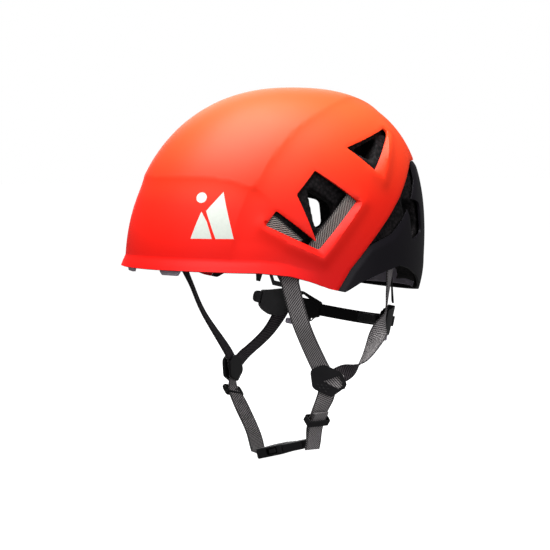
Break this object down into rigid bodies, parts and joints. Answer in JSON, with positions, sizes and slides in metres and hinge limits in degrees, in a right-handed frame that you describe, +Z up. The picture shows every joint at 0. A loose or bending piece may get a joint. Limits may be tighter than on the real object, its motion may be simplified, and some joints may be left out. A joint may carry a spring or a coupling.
{
  "type": "climbing helmet",
  "caption": "Climbing helmet with a two-tone moulded shell, vented foam liner, folding fit cradle, webbing chin harness and side-release buckle.",
  "frame": {"origin": "middle of the head opening, level with the brim, where the wearer's head holds the helmet", "axes": "+X to the wearer's left, -Y to the front, +Z up through the crown"},
  "size_m": [0.215, 0.2815, 0.3271],
  "materials": {
    "upper_shell": "satin moulded ABS",
    "rear_shell": "matte moulded ABS",
    "foam": "beaded foam",
    "pad_fabric": "brushed mesh fabric",
    "webbing": "herringbone webbing",
    "clear_plastic": "clear flexible plastic",
    "cradle_plastic": "satin nylon",
    "buckle_plastic": "satin acetal"
  },
  "bodies": {
    "shell": {"upper_shell": "upper_shell", "rear_shell": "rear_shell", "foam_liner": "foam", "crown_puck": "foam", "brow_pad": "pad_fabric", "crown_pad": "pad_fabric", "side_pad_left": "pad_fabric", "side_pad_right": "pad_fabric", "front_clip_left": "clear_plastic", "front_clip_right": "clear_plastic", "rear_clip": "clear_plastic", "buckle_socket": "buckle_plastic", "strap_tail": "webbing", "side_webbing_front_left": "webbing", "side_webbing_rear_left": "webbing", "strap_anchor_front_left": "cradle_plastic", "strap_anchor_rear_left": "cradle_plastic", "cradle_pin_left": "cradle_plastic", "front_strap_left": "webbing", "rear_strap_left": "webbing", "chin_strap_left": "webbing", "side_webbing_front_right": "webbing", "side_webbing_rear_right": "webbing", "strap_anchor_front_right": "cradle_plastic", "strap_anchor_rear_right": "cradle_plastic", "cradle_pin_right": "cradle_plastic", "front_strap_right": "webbing", "rear_strap_right": "webbing", "chin_strap_right": "webbing"},
    "cradle": {"nape_band": "cradle_plastic", "nape_pad": "pad_fabric", "cradle_arm_left": "cradle_plastic", "cradle_arm_right": "cradle_plastic"},
    "fit_wing_left": {"wing_left": "cradle_plastic", "strap_guide_left": "clear_plastic"},
    "fit_wing_right": {"wing_right": "cradle_plastic", "strap_guide_right": "clear_plastic"},
    "pawl_left": {"ratchet_pawl_left": "cradle_plastic"},
    "pawl_right": {"ratchet_pawl_right": "cradle_plastic"},
    "adjuster_left": {"adjuster_plate_left": "buckle_plastic", "adjuster_back_left": "buckle_plastic"},
    "adjuster_right": {"adjuster_plate_right": "buckle_plastic", "adjuster_back_right": "buckle_plastic"},
    "keeper": {"strap_keeper": "buckle_plastic"},
    "plug": {"buckle_plug": "buckle_plastic"},
    "prong_front": {"squeeze_prong_front": "buckle_plastic"},
    "prong_rear": {"squeeze_prong_rear": "buckle_plastic"}
  },
  "joints": [
    {"name": "cradle_fold", "type": "hinge", "parent": "shell", "child": "cradle", "pos_m": [0, 0.018, 0.002], "axis": [1, 0, 0], "range_deg": [-80, 0], "deforming": ["front_strap_left", "front_strap_right", "rear_strap_left", "rear_strap_right", "cradle_arm_left"]},
    {"name": "fit_slide_left", "type": "hinge", "parent": "cradle", "child": "fit_wing_left", "pos_m": [0, 0.0145, -0.0386], "axis": [0, 0.2419, 0.9703], "range_deg": [-9, 2], "deforming": ["cradle_arm_left", "rear_strap_left", "front_strap_left"]},
    {"name": "pawl_lift_left", "type": "hinge", "parent": "fit_wing_left", "child": "pawl_left", "pos_m": [0.03065, 0.09382, -0.05838], "axis": [0, 0.2419, 0.9703], "range_deg": [0, 10], "stiffness_Nm_per_rad": 0.01, "deforming": ["rear_strap_left"]},
    {"name": "adjuster_slide_left", "type": "slide", "parent": "shell", "child": "adjuster_left", "axis": [-0.1201, 0.2801, -0.9524], "range_m": [-0.01, 0.01], "deforming": ["front_strap_left", "rear_strap_left", "chin_strap_left"]},
    {"name": "fit_slide_right", "type": "hinge", "parent": "cradle", "child": "fit_wing_right", "pos_m": [0, 0.0145, -0.0386], "axis": [0, 0.2419, 0.9703], "range_deg": [-12, 5], "deforming": ["cradle_arm_right", "rear_strap_right", "front_strap_right"]},
    {"name": "pawl_lift_right", "type": "hinge", "parent": "fit_wing_right", "child": "pawl_right", "pos_m": [-0.06379, 0.07233, -0.05302], "axis": [0, 0.2419, 0.9703], "range_deg": [-10, 0], "stiffness_Nm_per_rad": 0.01, "deforming": ["rear_strap_right"]},
    {"name": "adjuster_slide_right", "type": "slide", "parent": "shell", "child": "adjuster_right", "axis": [0.1201, 0.2801, -0.9524], "range_m": [-0.01, 0.01], "deforming": ["front_strap_right", "rear_strap_right", "chin_strap_right"]},
    {"name": "keeper_slide", "type": "slide", "parent": "shell", "child": "keeper", "axis": [-0.6427, 0.0999, -0.7596], "range_m": [-0.005, 0.007], "deforming": ["chin_strap_left", "strap_tail"]},
    {"name": "buckle_release", "type": "slide", "parent": "shell", "child": "plug", "axis": [0.8606, 0.4385, 0.2588], "range_m": [0, 0.02], "deforming": ["chin_strap_left", "strap_tail", "squeeze_prong_front", "squeeze_prong_rear"]},
    {"name": "prong_squeeze_front", "type": "hinge", "parent": "plug", "child": "prong_front", "pos_m": [0.02575, -0.01545, -0.16495], "axis": [-0.2306, -0.1175, 0.9659], "range_deg": [-8, 0], "stiffness_Nm_per_rad": 0.01},
    {"name": "prong_squeeze_rear", "type": "hinge", "parent": "plug", "child": "prong_rear", "pos_m": [0.02058, -0.00529, -0.16495], "axis": [-0.2306, -0.1175, 0.9659], "range_deg": [0, 8], "stiffness_Nm_per_rad": 0.01}
  ],
  "couplings": [
    {"joint": "prong_squeeze_rear", "follows": "prong_squeeze_front", "ratio": -1}
  ]
}
